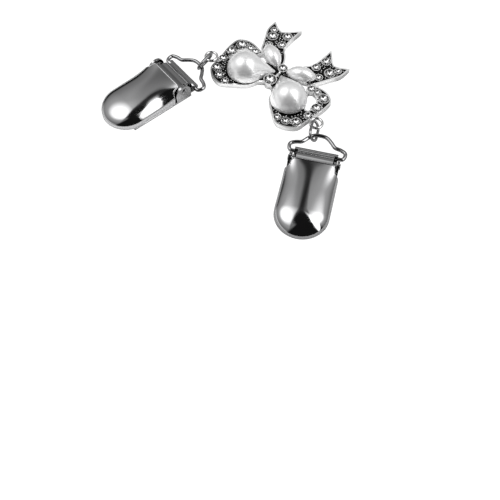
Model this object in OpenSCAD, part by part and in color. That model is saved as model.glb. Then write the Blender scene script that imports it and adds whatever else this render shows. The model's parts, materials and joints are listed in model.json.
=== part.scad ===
// Sweater clip: a bow with pearls and cut stones, held between two hinged clips.
// Lengths are millimetres and +Z is up, with the piece lying on its flat back.
// The origin is on the back, under the middle of the bow, and +Y points to its tails.

/* [Bow metal] */
// Height of the cast metal
frame_h = 2.1; // [1.9:0.1:2.5]
// Depth of the channel that the stones stand in
channel_d = 0.6; // [0.3:0.1:0.9]
// Width of the rim along each ribbon
rim_w = 0.6; // [0.4:0.1:0.9]
// Width of the ribbon round the large pearl
ribbon_w = 5; // [4.4:0.1:5.8]
// Length of a tail along Y, from the middle of the bow
tail_l = 23.4; // [21:0.2:27]
// Reach of a tail along X, from the middle of the bow
tail_w = 19.6; // [18:0.2:22]

/* [Pearls] */
// Width of the drop-shaped pearl
drop_w = 14.6; // [13.6:0.1:15.4]
// Length of the drop-shaped pearl
drop_l = 19.5; // [18.5:0.1:21]
// Radius of the drop's narrow tip
drop_tip = 0.6; // [0.4:0.1:1]
// Direction of the drop's axis, in degrees under +X
drop_turn = 36; // [35:0.5:38]
// Height of the seat under the drop-shaped pearl
drop_seat = 2.4; // [2.3:0.05:2.8]
// Width of the leaf-shaped pearl
leaf_w = 6.9; // [6:0.1:7.2]
// Length of the leaf-shaped pearl
leaf_l = 12.4; // [11:0.1:12.8]
// Direction of the leaf's axis, in degrees over +X
leaf_turn = 26.5; // [26:0.5:29]
// Height of the seat under the leaf-shaped pearl
leaf_seat = 3.1; // [2.7:0.05:3.3]

/* [Stones] */
// Width of a stone of the usual size
stone_w = 3.4; // [2.8:0.1:3.6]
// Wall of a stone's setting
bezel_w = 0.3; // [0.2:0.05:0.4]
// Height of a setting over the rim of the ribbon
bezel_up = 0.15; // [0:0.05:0.4]
// Width of the stone in the middle of the bow
middle_stone_w = 3.3; // [2.8:0.1:3.4]
// Width of the stone in the knot
knot_stone_w = 4.6; // [4:0.1:4.7]
// Height of the two cone settings in the middle
cone_h = 3.5; // [3.1:0.1:4.2]

/* [Rings and bails] */
// Wire of the soldered rings at the sides of the bow
ring_wire = 1.1; // [0.9:0.05:1.2]
// Hole of the soldered rings
ring_hole = 3.6; // [3.6:0.1:4.4]
// Wire of the oval jump rings
link_wire = 1.1; // [0.9:0.05:1.15]
// Length of an oval jump ring, outside
link_l = 9.2; // [9:0.1:10.5]
// Width of an oval jump ring, outside
link_w = 5.8; // [5.8:0.1:6.6]
// Wire of a bail
bail_wire = 1.5; // [1.3:0.05:1.6]
// Height of a bail, from the middle of its bar to its top wire
bail_h = 8.5; // [8:0.1:9.4]
// Half of a bail's width at its shoulders
bail_half = 10.6; // [10.2:0.1:11.4]

/* [Clips] */
// Thickness of the folded plate
sheet = 0.8; // [0.6:0.05:0.9]
// Width of the back plate
plate_w = 18.8; // [18.6:0.1:20]
// Length of the back plate, behind the pivot
plate_l = 24.4; // [20:0.2:27]
// Thickness of the cover's sheet
cover_t = 0.6; // [0.4:0.05:0.7]
// Width of the cover
cover_w = 20; // [19.6:0.1:21.6]
// Length of the cover
cover_l = 29.4; // [26:0.2:33]
// Height of the cover's crest at the hinge
crest_h = 7.5; // [7.2:0.1:8.4]
// Drop of the crest along the straight part of the cover
crest_drop = 1; // [0.4:0.1:1.6]
// Gap between the floor and the cover's lower edge
skirt_gap = 1.4; // [1.1:0.1:1.8]
// Height of the pivot
pivot_h = 4.5; // [4.2:0.1:4.8]
// Diameter of a pivot pin
pin_d = 1.5; // [1.2:0.05:1.6]
// Diameter of a pin's head
head_d = 2.3; // [2:0.1:2.6]
// Thickness of a pin's head
head_t = 0.4; // [0.3:0.05:0.6]

/* [Hidden] */

// Each side is a row of its name, its sign along X, the angle of its soldered ring
// about the pearl, the heading from there to the bail's top, the jump ring's heading
// and lean, and the clip's heading.
SIDE_NAME = 0;
SIDE_SIGN = 1;
SIDE_RING = 2;
SIDE_PULL = 3;
SIDE_LINK = 4;
SIDE_LEAN = 5;
SIDE_CLIP = 6;
SIDES = [
    ["left", -1, -14, -97, -85, 70, 81],
    ["right", 1, -6.5, -36, -62, -56.5, 118]
];

// Gap round a stone in its setting, and under and round a pearl
stone_gap = 0.06;
pearl_gap = 0.06;
// Running clearance of a bail's bar in its roll, and of a pin in the cover
bar_play = 0.08;
pin_play = 0.05;
// Clearance of a pin in the ear that carries it
pin_seat = 0.02;
// Free play between a jump ring and the wires that it holds, and its place in it
link_play = 0.4;
link_shift = 0.15;
// Gap between the jump ring and the surface that it rests on
rest_gap = 0.05;
// Overlap that lets two cut or joined solids meet cleanly
lap = 0.5;

// Drop pearl: its tip and its round centre
drop_r = drop_w / 2;
drop_start = [1.55, -0.7];
drop_dir = [cos(drop_turn), -sin(drop_turn)];
drop_c = drop_start + (drop_l - drop_r) * drop_dir;

// Leaf pearl: its inner tip is beside the middle setting
leaf_start = [2.1, 1.5];
leaf_fullness = 0.72;

// How far a pearl stands out over its seat, and over the openings beside it
seat_in = 0.6;
window_in = 0.3;

// Middle and knot settings
middle_y = 1.9;
knot_y = -5.8;
cone_flare = 0.45;
cone_wall = 0.4;
crown_rise = 0.3;
girdle_drop = 0.35;
pavilion = 0.45;
table_share = 0.55;
girdle = 0.12;

// Outline of a loop: angle about the pearl's centre, and width over the pearl
// as a share of the ribbon's width.
LOOP_EDGE = [
    [80, 0.98],
    [63, 1.44],
    [51, 1.74],
    [39, 1.87],
    [30, 1.66],
    [16, 1.31],
    [-1, 1.05],
    [-19, 1.09],
    [-36, 1.33],
    [-54, 1.25],
    [-71, 1.08],
    [-80, 0.83],
    [-90, 0.52],
    [-112, 0.18],
    [-141, 0.10],
    [-171, 0.08]
];
// Openings between the pearl and the ribbon, in the same terms
WINDOW_OUTER = [
    [62, 0.17],
    [67, 0.40],
    [62, 0.58],
    [49, 0.75],
    [33, 0.70],
    [24, 0.46],
    [12, 0.48],
    [5, 0.38],
    [4, 0.18],
    [30, -0.30]
];
WINDOW_UPPER = [[113, 0.66], [91, 0.89], [87, 0.70], [71, 0.23], [85, -0.20], [115, -0.08]];
// Stones of a loop: angle, distance over the pearl as a share of the ribbon's width,
// and width as a share of the usual stone.
LOOP_STONES = [
    [72, 0.66, 0.88],
    [59, 0.92, 0.71],
    [43, 1.26, 1.22],
    [20, 0.85, 1.12],
    [-6, 0.72, 0.88],
    [-35, 0.79, 1.03],
    [-56, 0.64, 0.88],
    [-77, 0.49, 0.76]
];
// Outline of a tail as shares of its reach along X and its length along Y
TAIL_INNER = [
    [0.00, 0.05],
    [0.08, 0.18],
    [0.13, 0.28],
    [0.21, 0.37],
    [0.315, 0.455],
    [0.38, 0.56],
    [0.40, 0.77],
    [0.40, 1.00]
];
TAIL_END = [[0.40, 1.00], [0.53, 0.89], [0.63, 0.80], [0.71, 0.755]];
TAIL_END_OUT = [[0.71, 0.755], [0.80, 0.775], [0.90, 0.82], [1.00, 0.87]];
TAIL_OUTER = [[1.00, 0.87], [0.99, 0.65], [0.89, 0.48], [0.79, 0.32], [0.69, 0.19], [0.40, 0.085]];
// Stones of a tail in the same shares, and width as a share of the usual stone
TAIL_STONES = [
    [0.52, 0.73, 1.03],
    [0.77, 0.565, 1.15],
    [0.46, 0.515, 0.90],
    [0.67, 0.37, 0.80],
    [0.86, 0.70, 0.70]
];

// Clip: the sizes that follow from the plate and its roll. In a clip's own frame +Y
// points from the jaw to the bail, and the pivot lies at pivot_y.
pivot_y = -1.2;
roll_hole = bail_wire / 2 + bar_play;
roll_r = roll_hole + sheet;
roll_half = plate_w / 2 - 1.2;
roll_join = 0.6;
bar_y = 4.2;
bar_z = roll_r;
ear_t = sheet + 0.1;
ear_r = 3.45;
ear_y = -1.95;
ear_z = pivot_h - 0.95;
ear_in = plate_w / 2 - ear_t;
ear_trim = 0.05;
// Hinge tabs of the cover, between the ears and the spring leaf
tab_gap = 0.4;
tab_t = 0.8;
tab_out = ear_in - tab_gap;
tab_in = tab_out - tab_t;
tab_r = pin_d / 2 + 0.7;
tab_l = 5;
tab_sink = 0.3;
leaf_half = tab_in - tab_gap;
// Cover: its lip at the hinge, the start of its round end, and the notches at the ears
lip_y = pivot_y - 1.8;
lip_half = tab_out - 0.2;
end_y = lip_y - cover_l;
arc_y = end_y + cover_w / 2;
dome_power = 3.2;
notch_y = ear_y - ear_r + 0.4;
// Pins: how far they reach past a tab, and the gap under a head
pin_over = 0.15;
head_gap = 0.05;
// Path of the folded spring leaf: Y, and height over the roll's top as a share of the
// rise from there to the pivot's level.
leaf_mid = roll_r * 2 - sheet / 2;
leaf_top = 0.65;
leaf_rise = pivot_h + leaf_top - leaf_mid;
LEAF_FRONT = [[bar_y - 0.3, 0], [3.2, 0.04], [2.5, 0.32], [1.5, 0.75], [0.2, 0.97], [-2, 1]];
jaw_in = 1.4;
jaw_gap = 0.45;
jaw_y = pivot_y - plate_l + jaw_in;
jaw_z = 1.5 * sheet + jaw_gap;

// Half of a bail: X as a share of its half width, Y as a share of its height
BAIL_HALF = [
    [0.84, 0.00],
    [0.93, 0.02],
    [1.00, 0.14],
    [0.99, 0.34],
    [0.81, 0.465],
    [0.60, 0.53],
    [0.44, 0.74],
    [0.24, 0.95],
    [0.00, 1.00]
];

// Spline through a list of points, with n steps between each two
function pick(p, i) = p[max(0, min(len(p) - 1, i))];
function blend(a, b, c, d, t) =
    0.5 * (2 * b + (c - a) * t + (2 * a - 5 * b + 4 * c - d) * t * t + (3 * b - a - 3 * c + d) * t * t * t);
function bend(p, n) = concat(
    [for (i = [0:len(p) - 2], j = [0:n - 1])
        blend(pick(p, i - 1), p[i], p[i + 1], pick(p, i + 2), j / n)],
    [p[len(p) - 1]]
);
function polar(r, a) = [r * cos(a), r * sin(a)];
function around(row) = drop_c + polar(drop_r + ribbon_w * row[1], row[0]);
function tail_point(row) = [row[0] * tail_w, row[1] * tail_l];

// Heights of the settings and their pockets
bezel_top = frame_h + bezel_up;
function loop_stone(i) = around(LOOP_STONES[i]);
function loop_stone_r(i) = LOOP_STONES[i][2] * stone_w / 2;
function tail_stone(i) = tail_point(TAIL_STONES[i]);
function tail_stone_r(i) = TAIL_STONES[i][2] * stone_w / 2;

// Soldered ring, jump ring and clip places of a side
ring_out = ring_hole / 2 + ring_wire;
ring_z = 2.0;
ring_sink = 0.1;
function ring_far(side) = drop_r + ribbon_w * lookup(side[SIDE_RING], LOOP_EDGE) + ring_out - ring_sink;
function ring_c(side) =
    let (c = drop_c + polar(ring_far(side), side[SIDE_RING])) [side[SIDE_SIGN] * c[0], c[1]];
link_reach = link_l - link_wire - (link_wire + bail_wire) / 2 - link_play;
function link_c(side) = ring_c(side) + polar((link_l - link_wire) / 2 + link_shift, side[SIDE_LINK]);
function link_z(side) = (link_w - link_wire) / 2 * abs(sin(side[SIDE_LEAN])) + link_wire / 2 + rest_gap;
bail_rise = 0.67;
bar_half = 0.9 * bail_half;
tube_in = 0.01;
function bail_top(side) = ring_c(side) + polar(link_reach, side[SIDE_PULL]);
function clip_c(side) = bail_top(side) - polar(bail_h + bar_y, side[SIDE_CLIP]);

module place_clip(side) {
    translate([clip_c(side)[0], clip_c(side)[1], 0])
        rotate([0, 0, side[SIDE_CLIP] - 90])
            children();
}

// Half outline of the drop, from its tip at the origin along +Y
function drop_half(r, l, tip) =
    let (a = asin((r - tip) / (l - r - tip))) concat(
        [for (i = [0:3]) [0, tip] + polar(tip, -90 + i * (90 - a) / 3)],
        [for (i = [0:12]) [0, l - r] + polar(r, -a + i * (90 + a) / 12)]
    );
// Half outline of the leaf, from its tip at the origin along +Y
function leaf_outline(w, l) = [
    for (i = [0:14]) let (t = -cos(i * 180 / 14)) [w / 2 * pow(1 - t * t, leaf_fullness), l / 2 * (1 + t)]
];
function whole(half) = concat(
    half,
    [for (i = [len(half) - 2:-1:1]) [-half[i][0], half[i][1]]]
);

module drop_place() {
    translate(drop_start) rotate(-90 - drop_turn) children();
}

module leaf_place() {
    translate(leaf_start) rotate(leaf_turn - 90) children();
}

// Half of a round body of revolution lying on its flat side, along +Y
module half_round(half) {
    size = 4 * max([for (p = half) max(p)]);
    intersection() {
        rotate([-90, 0, 0])
            rotate_extrude($fn = 48)
                polygon(half);
        translate([-size / 2, -size / 2, 0])
            cube(size);
    }
}

// Draws its children on the side of the bow that sign names
module on_side(sign) {
    mirror([sign < 0 ? 1 : 0, 0, 0]) children();
}

module drop_pearl(side) {
    color("gainsboro")
        on_side(side[SIDE_SIGN])
            translate([0, 0, drop_seat])
                drop_place()
                    half_round(drop_half(drop_r, drop_l, drop_tip));
}

module leaf_pearl(side) {
    color("gainsboro")
        on_side(side[SIDE_SIGN])
            translate([0, 0, leaf_seat])
                leaf_place()
                    half_round(leaf_outline(leaf_w, leaf_l));
}

// Outline of the drop with its edge moved inward
module drop_plan(inward) {
    drop_place()
        translate([0, inward])
            polygon(whole(drop_half(drop_r - inward, drop_l - 2 * inward, drop_tip)));
}

module leaf_plan(inward) {
    leaf_place()
        translate([0, inward])
            polygon(whole(leaf_outline(leaf_w - 2 * inward, leaf_l - 2 * inward)));
}

module windows() {
    difference() {
        union() {
            polygon([for (row = WINDOW_OUTER) around(row)]);
            polygon([for (row = WINDOW_UPPER) around(row)]);
        }
        drop_plan(window_in);
    }
}

module loop_plan() {
    edge = bend([for (row = LOOP_EDGE) around(row)], 3);
    polygon(concat([[-lap, middle_y]], edge, [[-lap, knot_y]]));
}

module tail_plan() {
    inner = bend([for (row = TAIL_INNER) tail_point(row)], 3);
    end_in = bend([for (row = TAIL_END) tail_point(row)], 2);
    end_out = bend([for (row = TAIL_END_OUT) tail_point(row)], 2);
    outer = bend([for (row = TAIL_OUTER) tail_point(row)], 3);
    polygon(concat([[-lap, 0]], inner, end_in, end_out, outer));
}

// Body of a ribbon: a rim round a channel
module ribbon() {
    difference() {
        linear_extrude(frame_h)
            children();
        translate([0, 0, frame_h - channel_d])
            linear_extrude(channel_d + lap)
                offset(delta = -rim_w)
                    children();
    }
}

module half_frame() {
    ribbon()
        difference() {
            loop_plan();
            windows();
        }
    ribbon() tail_plan();
    linear_extrude(drop_seat - pearl_gap)
        drop_plan(seat_in);
    linear_extrude(leaf_seat - pearl_gap)
        intersection() {
            leaf_plan(seat_in);
            tail_plan();
        }
    for (i = [0:len(LOOP_STONES) - 1])
        translate(loop_stone(i))
            cylinder(h = bezel_top, r = loop_stone_r(i) + bezel_w, $fn = 32);
    for (i = [0:len(TAIL_STONES) - 1])
        translate(tail_stone(i))
            cylinder(h = bezel_top, r = tail_stone_r(i) + bezel_w, $fn = 32);
}

// Pocket of a stone of radius r whose setting ends at height top
module pocket(r, top) {
    depth = girdle_drop + pavilion * r + stone_gap;
    translate([0, 0, top - depth])
        cylinder(h = depth + lap, r = r + stone_gap, $fn = 32);
}

module half_pockets() {
    for (i = [0:len(LOOP_STONES) - 1])
        translate(loop_stone(i))
            pocket(loop_stone_r(i), bezel_top);
    for (i = [0:len(TAIL_STONES) - 1])
        translate(tail_stone(i))
            pocket(tail_stone_r(i), bezel_top);
}

module cone_setting(y, w) {
    r = w / 2 + cone_wall;
    translate([0, y, 0])
        cylinder(h = cone_h, r1 = r - cone_flare, r2 = r, $fn = 48);
}

module soldered_ring(side) {
    c = ring_c(side);
    translate([c[0], c[1], ring_z])
        rotate_extrude($fn = 48)
            translate([ring_out - ring_wire / 2, 0])
                circle(d = ring_wire, $fn = 24);
    foot = 2 * ring_wire;
    translate([c[0], c[1], ring_z])
        rotate([0, 0, side[SIDE_SIGN] > 0 ? 180 + side[SIDE_RING] : -side[SIDE_RING]])
            translate([ring_out - ring_wire * 0.6, -foot / 2, -ring_wire])
                cube([foot, foot, ring_wire]);
}

module bow_frame() {
    color("silver")
        difference() {
            union() {
                half_frame();
                mirror([1, 0, 0]) half_frame();
                cone_setting(middle_y, middle_stone_w);
                cone_setting(knot_y, knot_stone_w);
                for (side = SIDES)
                    soldered_ring(side);
            }
            half_pockets();
            mirror([1, 0, 0]) half_pockets();
            translate([0, middle_y, 0]) pocket(middle_stone_w / 2, cone_h);
            translate([0, knot_y, 0]) pocket(knot_stone_w / 2, cone_h);
        }
}

// Round stone with a table, eight crown facets and a pointed back of eight facets
module stone(r, top) {
    edge = girdle * r;
    crown = crown_rise * r;
    depth = pavilion * r;
    color("white")
        translate([0, 0, top - girdle_drop])
            rotate_extrude($fn = 8)
                polygon([
                    [0, -depth],
                    [r, -edge],
                    [r, edge],
                    [table_share * r, edge + crown],
                    [0, edge + crown]
                ]);
}

module loop_stone_of(side, i) {
    p = loop_stone(i);
    translate([side[SIDE_SIGN] * p[0], p[1], 0])
        stone(loop_stone_r(i), bezel_top);
}

module tail_stone_of(side, i) {
    p = tail_stone(i);
    translate([side[SIDE_SIGN] * p[0], p[1], 0])
        stone(tail_stone_r(i), bezel_top);
}

// Oval ring of round wire, long side along X: two straight rods and two half rings
module oval_ring(l, w, wire) {
    bend_r = (w - wire) / 2;
    run = l - w;
    for (s = [-1, 1]) {
        translate([-run / 2, s * bend_r, 0])
            rotate([0, 90, 0])
                cylinder(h = run, d = wire, $fn = 24);
        translate([s * run / 2, 0, 0])
            rotate([0, 0, s * -90])
                rotate_extrude(angle = 180, $fn = 48)
                    translate([bend_r, 0])
                        circle(d = wire, $fn = 24);
    }
}

module jump_ring(side) {
    c = link_c(side);
    color("silver")
        translate([c[0], c[1], link_z(side)])
            rotate([0, 0, side[SIDE_LINK]])
                rotate([side[SIDE_LEAN], 0, 0])
                    oval_ring(link_l, link_w, link_wire);
}

// Round wire with n sides along a path of points in space
function unit(v) = v / norm(v);
function tube_dir(p, i) = unit(pick(p, i + 1) - pick(p, i - 1));
function tube_ring(p, i, r, n) =
    let (d = tube_dir(p, i), side = unit(cross(d, [0, 0, 1])), up = cross(side, d))
    [for (k = [0:n - 1]) p[i] + r * (cos(k * 360 / n) * side + sin(k * 360 / n) * up)];

module tube(p, r, n) {
    points = [for (i = [0:len(p) - 1]) each tube_ring(p, i, r, n)];
    walls = [
        for (i = [0:len(p) - 2], k = [0:n - 1])
            let (a = i * n + k, b = i * n + (k + 1) % n) [a, b, b + n, a + n]
    ];
    first = [for (k = [n - 1:-1:0]) k];
    last = [for (k = [0:n - 1]) (len(p) - 1) * n + k];
    polyhedron(points, concat([first], walls, [last]), convexity = 6);
}

module bail(side) {
    half = [for (row = BAIL_HALF) [row[0] * bail_half, row[1] * bail_h]];
    other = [for (i = [len(half) - 2:-1:0]) [-half[i][0], half[i][1]]];
    path = bend(concat(half, other), 3);
    slope = bail_rise / bail_h;
    color("silver")
        place_clip(side)
            translate([0, bar_y, bar_z]) {
                tube([for (p = path) [p[0], p[1], p[1] * slope]], bail_wire / 2 - tube_in, 12);
                translate([-bar_half, 0, 0])
                    rotate([0, 90, 0])
                        cylinder(h = 2 * bar_half, d = bail_wire, $fn = 32);
            }
}

// Outline of a sheet of thickness t along a path in a plane
function turn(v) = [-v[1], v[0]];
function strip(p, t) = concat(
    [for (i = [0:len(p) - 1]) p[i] + t / 2 * turn(tube_dir(p, i))],
    [for (i = [len(p) - 1:-1:0]) p[i] - t / 2 * turn(tube_dir(p, i))]
);

// Extrudes a profile drawn in the YZ plane from x0 to x1
module along_x(x0, x1) {
    translate([x0, 0, 0])
        rotate([90, 0, 90])
            linear_extrude(x1 - x0)
                children();
}

module clip_plate(side) {
    front = [for (row = LEAF_FRONT) [row[0], leaf_mid + row[1] * leaf_rise]];
    back = [[notch_y - 1, leaf_mid + 0.85 * leaf_rise], [jaw_y + 1, jaw_z + 0.25], [jaw_y, jaw_z]];
    path = concat(bend(front, 3), back);
    color("dimgray")
        place_clip(side)
            difference() {
                union() {
                    translate([-plate_w / 2, pivot_y - plate_l, 0])
                        cube([plate_w, plate_l - pivot_y + ear_y + ear_r, sheet]);
                    translate([-roll_half, 0, 0])
                        cube([2 * roll_half, bar_y - roll_join, sheet]);
                    along_x(-roll_half, roll_half)
                        translate([bar_y, bar_z])
                            circle(r = roll_r, $fn = 48);
                    along_x(-leaf_half, leaf_half)
                        polygon(strip(path, sheet));
                    for (s = [0, 1])
                        mirror([s, 0, 0])
                            along_x(ear_in, plate_w / 2)
                                ear_plan();
                }
                translate([-plate_w, bar_y, bar_z])
                    rotate([0, 90, 0])
                        cylinder(h = 2 * plate_w, r = roll_hole, $fn = 48);
                translate([-plate_w, pivot_y, pivot_h])
                    rotate([0, 90, 0])
                        cylinder(h = plate_w - ear_in + lap, d = pin_d + 2 * pin_seat, $fn = 48);
                translate([ear_in - lap, pivot_y, pivot_h])
                    rotate([0, 90, 0])
                        cylinder(h = plate_w, d = pin_d + 2 * pin_seat, $fn = 48);
            }
}

module ear_plan() {
    translate([ear_y, ear_z])
        circle(r = ear_r, $fn = 48);
    translate([ear_y - ear_r + ear_trim, 0])
        square([2 * (ear_r - ear_trim), ear_z]);
}

module clip_pin(side, i) {
    length = plate_w / 2 + head_gap - tab_in + pin_over;
    color("silver")
        place_clip(side)
            mirror([i, 0, 0])
                translate([tab_in - pin_over, pivot_y, pivot_h])
                    rotate([0, 90, 0]) {
                        cylinder(h = length, d = pin_d, $fn = 48);
                        translate([0, 0, length])
                            cylinder(h = head_t, d1 = head_d, d2 = head_d * 0.8, $fn = 48);
                    }
}

// Dome of the cover: rings that follow the edge inward, each a step higher
SIDE_STEPS = 6;
ARC_STEPS = 16;
RINGS = 9;
ring_power = 1.7;
cap_share = 0.97;
function edge_y(k) = lip_y + (arc_y - lip_y) * k / SIDE_STEPS;
function ring_point(k, half) =
    k <= SIDE_STEPS ? [half, edge_y(k)]
    : k < SIDE_STEPS + ARC_STEPS ? [0, arc_y] + polar(half, -180 * (k - SIDE_STEPS) / ARC_STEPS)
    : [-half, edge_y(2 * SIDE_STEPS + ARC_STEPS - k)];
function crest(y) = crest_h - crest_drop * (lip_y - max(y, arc_y)) / (lip_y - arc_y);
function dome_z(share, y, low, t) =
    low + (crest(y) - t - low) * pow(1 - pow(1 - share, dome_power), 1 / dome_power);
function dome_ring(j, t) = [
    for (k = [0:2 * SIDE_STEPS + ARC_STEPS])
        let (
            share = j == RINGS ? cap_share : pow(j / RINGS, ring_power),
            p = ring_point(k, (cover_w / 2 - t) * (1 - share))
        )
        [p[0], p[1], dome_z(share, p[1], skirt_gap, t)]
];

module dome() {
    n = 2 * SIDE_STEPS + ARC_STEPS + 1;
    inner = (RINGS + 1) * n;
    points = [for (t = [0, cover_t], j = [0:RINGS]) each dome_ring(j, t)];
    outside = [
        for (j = [0:RINGS - 1], k = [0:n - 2])
            let (a = j * n + k) [a, a + 1, a + n + 1, a + n]
    ];
    cap = [
        for (k = [0:(n - 3) / 2])
            let (a = RINGS * n + k, b = RINGS * n + n - 1 - k)
            k == (n - 3) / 2 ? [a, a + 1, b] : [a, a + 1, b - 1, b]
    ];
    skin = concat(outside, cap);
    lining = [for (f = skin) [for (i = [len(f) - 1:-1:0]) f[i] + inner]];
    rim = [for (k = [0:n - 2]) [k + 1, k, k + inner, k + 1 + inner]];
    front = [
        for (j = [0:RINGS - 1])
            let (a = j * n) [a, a + n, a + n + inner, a + inner]
    ];
    back = [
        for (j = [0:RINGS - 1])
            let (a = j * n + n - 1) [a + n, a, a + inner, a + n + inner]
    ];
    bridge = [[RINGS * n, RINGS * n + n - 1, RINGS * n + n - 1 + inner, RINGS * n + inner]];
    polyhedron(points, concat(skin, lining, rim, front, back, bridge), convexity = 8);
}

module clip_cover(side) {
    clear = cover_w / 2 + 1;
    notch = bend([
        [lip_half, notch_y],
        [lip_half + 0.15, notch_y - 0.6],
        [lip_half + 0.8, notch_y - 1.3],
        [clear, notch_y - 2]
    ], 3);
    color("gray")
        place_clip(side)
            difference() {
                union() {
                    difference() {
                        dome();
                        for (s = [0, 1])
                            mirror([s, 0, 0])
                                linear_extrude(2 * crest_h)
                                    polygon(concat([[lip_half, 1]], notch, [[clear, 1]]));
                    }
                    for (s = [0, 1])
                        mirror([s, 0, 0])
                            along_x(tab_in, tab_out)
                                tab_plan();
                }
                translate([-plate_w, pivot_y, pivot_h])
                    rotate([0, 90, 0])
                        cylinder(h = 2 * plate_w, d = pin_d + 2 * pin_play, $fn = 48);
            }
}

// Hinge tab of the cover: a disc round the pin and an arm up to the dome
module tab_plan() {
    translate([pivot_y, pivot_h])
        circle(r = tab_r, $fn = 48);
    top = dome_z(1 - tab_out / (cover_w / 2), lip_y, skirt_gap, 0) - tab_sink;
    polygon([
        [pivot_y, pivot_h - tab_r + 0.02],
        [pivot_y - tab_l, pivot_h - tab_r + 0.4],
        [pivot_y - tab_l, top - tab_sink],
        [lip_y, top],
        [pivot_y, pivot_h + tab_r - 0.02]
    ]);
}

bow_frame();
translate([0, middle_y, 0]) stone(middle_stone_w / 2, cone_h);  // middle_stone
translate([0, knot_y, 0]) stone(knot_stone_w / 2, cone_h);  // knot_stone
for (side = SIDES) {
    drop_pearl(side);
    leaf_pearl(side);
    for (i = [0:len(LOOP_STONES) - 1])
        loop_stone_of(side, i);
    for (i = [0:len(TAIL_STONES) - 1])
        tail_stone_of(side, i);
    jump_ring(side);
    bail(side);
    clip_plate(side);
    clip_cover(side);
    for (i = [0:1])
        clip_pin(side, i);
}
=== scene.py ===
# Bow sweater clip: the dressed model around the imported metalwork.
# Lengths are in millimetres, and MM brings them to metres where a mesh or node is made.
import bpy
import bmesh
import json
import math
from mathutils import Matrix, Vector
from mathutils.bvhtree import BVHTree


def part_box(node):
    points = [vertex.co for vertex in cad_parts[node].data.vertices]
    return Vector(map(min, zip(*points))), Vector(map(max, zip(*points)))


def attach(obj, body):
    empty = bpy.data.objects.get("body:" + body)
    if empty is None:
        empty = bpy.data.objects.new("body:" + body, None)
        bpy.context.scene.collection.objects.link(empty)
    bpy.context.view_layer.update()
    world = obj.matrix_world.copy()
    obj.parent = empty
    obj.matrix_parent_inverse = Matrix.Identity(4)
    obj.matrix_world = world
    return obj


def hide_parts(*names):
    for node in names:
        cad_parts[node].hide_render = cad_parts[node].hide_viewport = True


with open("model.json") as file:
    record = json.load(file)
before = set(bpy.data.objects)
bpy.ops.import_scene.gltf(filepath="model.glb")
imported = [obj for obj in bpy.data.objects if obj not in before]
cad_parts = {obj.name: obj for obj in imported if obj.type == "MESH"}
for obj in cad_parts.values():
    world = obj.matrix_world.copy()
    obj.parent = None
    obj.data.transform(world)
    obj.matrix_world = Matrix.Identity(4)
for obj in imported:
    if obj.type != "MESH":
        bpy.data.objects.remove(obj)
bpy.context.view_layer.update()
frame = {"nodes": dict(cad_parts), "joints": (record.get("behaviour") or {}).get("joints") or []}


# Camera: it looks down on the piece from the bow's lower right, through a plain
# 50 mm lens, at a point of the table just past the end of the right clip.
MM = 0.001
EYE = Vector((118.8, -151.2, 214.9)) * MM
AIM = Vector((43.58, -66.71, 0)) * MM
LENS = 50
SENSOR = 36
SEES_FROM, SEES_TO = 5, 20000

camera = bpy.data.objects.new("photo_camera", bpy.data.cameras.new("photo_camera"))
camera.data.lens = LENS
camera.data.sensor_width = SENSOR
camera.data.clip_start = SEES_FROM * MM
camera.data.clip_end = SEES_TO * MM
camera.location = EYE
camera.rotation_euler = (AIM - EYE).to_track_quat("-Z", "Y").to_euler()
bpy.context.scene.collection.objects.link(camera)
bpy.context.scene.camera = camera
bpy.context.scene.view_settings.view_transform = "Standard"


# Table: a wide sheet of paper, seen in the metal as lit paper with the piece's own soft
# shadow on it, and with pools of light and a faint glow painted into it. The camera looks
# through it to plain white, so that a clip hanging down past the sheet still shows.
TABLE_HALF = 3000
TABLE_DROP = 0.05
# Painted pools of light on the paper: middle x and y, radius of the full light, radius of its
# end.
PAINTED_LIGHT_POOLS = [(1, -4, 22, 29), (-33, -52, 21, 28)]
POOL_END = 0.08
LEAST_LIT = 0.5
PAPER_WHITE = 0.95
PAINTED_PAPER_GLOW = 0.04


def bare_material(name):
    """A node material with nothing in it yet."""
    material = bpy.data.materials.new(name)
    material.use_nodes = True
    material.node_tree.nodes.clear()
    return material, material.node_tree.nodes, material.node_tree.links


def add_node(nodes, kind, values=None, **settings):
    """A shader node with its settings, and values for the inputs that nothing feeds."""
    made = nodes.new("ShaderNode" + kind)
    for name, setting in settings.items():
        setattr(made, name, setting)
    for name, value in (values or {}).items():
        made.inputs[name].default_value = value
    return made


def to_surface(nodes, links, shader, output="OutputMaterial"):
    """Ends a node tree in the given shader."""
    links.new(shader.outputs[0], add_node(nodes, output).inputs["Surface"])


def new_piece(name, bm):
    """An object at the origin that takes over the mesh."""
    mesh = bpy.data.meshes.new(name)
    bm.to_mesh(mesh)
    bm.free()
    made = bpy.data.objects.new(name, mesh)
    bpy.context.scene.collection.objects.link(made)
    return made


paper, nodes, links = bare_material("white_paper")
spot = add_node(nodes, "TexCoord")
painted_lightness = add_node(nodes, "Value").outputs[0]
painted_lightness.default_value = LEAST_LIT
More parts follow.
